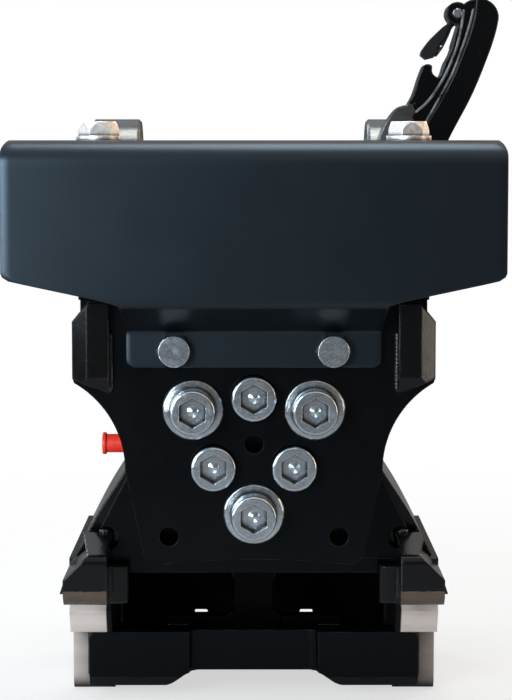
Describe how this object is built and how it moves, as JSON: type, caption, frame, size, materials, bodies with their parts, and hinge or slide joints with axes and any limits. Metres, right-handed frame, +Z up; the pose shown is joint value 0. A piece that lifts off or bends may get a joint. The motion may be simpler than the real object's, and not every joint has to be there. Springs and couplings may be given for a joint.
{
  "type": "tilting quick coupler",
  "caption": "Tilting quick coupler for a small excavator: ears on a head that tilts on a rotary actuator, claws and a sliding lock below, a guard and a load hook.",
  "frame": {"origin": "centre of the tapped hole on the tilt axis, at the front face of the front plate", "axes": "+Y back along the tilt axis, +Z up towards the ears, +X to the right seen from the front"},
  "size_m": [0.2704, 0.259, 0.3952],
  "materials": {
    "black_paint": "semi-gloss",
    "gloss_black_paint": "gloss",
    "cover_paint": "satin",
    "latch_paint": "satin",
    "zinc_plating": "bright",
    "bare_steel": "matt",
    "machined_steel": "ground",
    "bronze": "turned",
    "red_plastic": "moulded",
    "rubber": "matt"
  },
  "bodies": {
    "lower_frame": {"housing": "gloss_black_paint", "housing_cap": "machined_steel", "shaft_seals": "rubber", "base_casting": "gloss_black_paint", "front_cross_plate": "black_paint", "rear_cross_plate": "black_paint", "lower_deck": "black_paint", "right_claw": "gloss_black_paint", "left_claw": "gloss_black_paint", "right_cheek": "bare_steel", "left_cheek": "bare_steel", "front_beam": "black_paint", "rear_beam": "black_paint", "wedge_guides": "black_paint", "lock_cylinder": "black_paint", "lock_gland": "machined_steel", "grease_nipple": "zinc_plating", "grease_cap": "red_plastic", "hose_fittings": "zinc_plating"},
    "lock": {"lock_rod": "machined_steel", "lock_crosshead": "black_paint", "lock_wedges": "machined_steel"},
    "sleeve": {"piston_sleeve": "machined_steel", "piston_seal": "rubber"},
    "tilt_head": {"front_collars": "zinc_plating", "rear_collars": "zinc_plating", "front_collar_screws": "zinc_plating", "rear_collar_screws": "zinc_plating", "front_plate_screws": "zinc_plating", "rear_plate_screws": "zinc_plating", "cover_top_bolts": "zinc_plating", "cover_top_washers": "zinc_plating", "cover_front_bolts": "zinc_plating", "latch_pin": "zinc_plating", "shaft": "machined_steel", "rear_flange": "machined_steel", "front_plate": "black_paint", "rear_plate": "black_paint", "upper_deck": "black_paint", "ear_braces": "black_paint", "hook_plate": "black_paint", "front_lugs": "gloss_black_paint", "rear_lugs": "gloss_black_paint", "right_ear": "gloss_black_paint", "left_ear": "gloss_black_paint", "load_hook": "gloss_black_paint", "cover": "cover_paint", "ear_bushes": "bronze"},
    "hook_latch": {"latch": "latch_paint", "latch_spring": "machined_steel"}
  },
  "joints": [
    {"name": "tilt", "type": "hinge", "parent": "lower_frame", "child": "tilt_head", "pos_m": [0, 0, 0], "axis": [0, 1, 0], "range_deg": [-35, 35]},
    {"name": "sleeve_travel", "type": "slide", "parent": "lower_frame", "child": "sleeve", "axis": [0, 1, 0], "range_m": [-0.022, 0.022]},
    {"name": "lock_travel", "type": "slide", "parent": "lower_frame", "child": "lock", "axis": [0, 1, 0], "range_m": [-0.02, 0]},
    {"name": "latch_swing", "type": "hinge", "parent": "tilt_head", "child": "hook_latch", "pos_m": [0.116, 0.105, 0.235], "axis": [0, -1, 0], "range_deg": [0, 10], "stiffness_Nm_per_rad": 0.02, "springref_deg": -28.65}
  ],
  "couplings": [
    {"joint": "sleeve_travel", "follows": "tilt", "m_per_rad": 0.034}
  ]
}
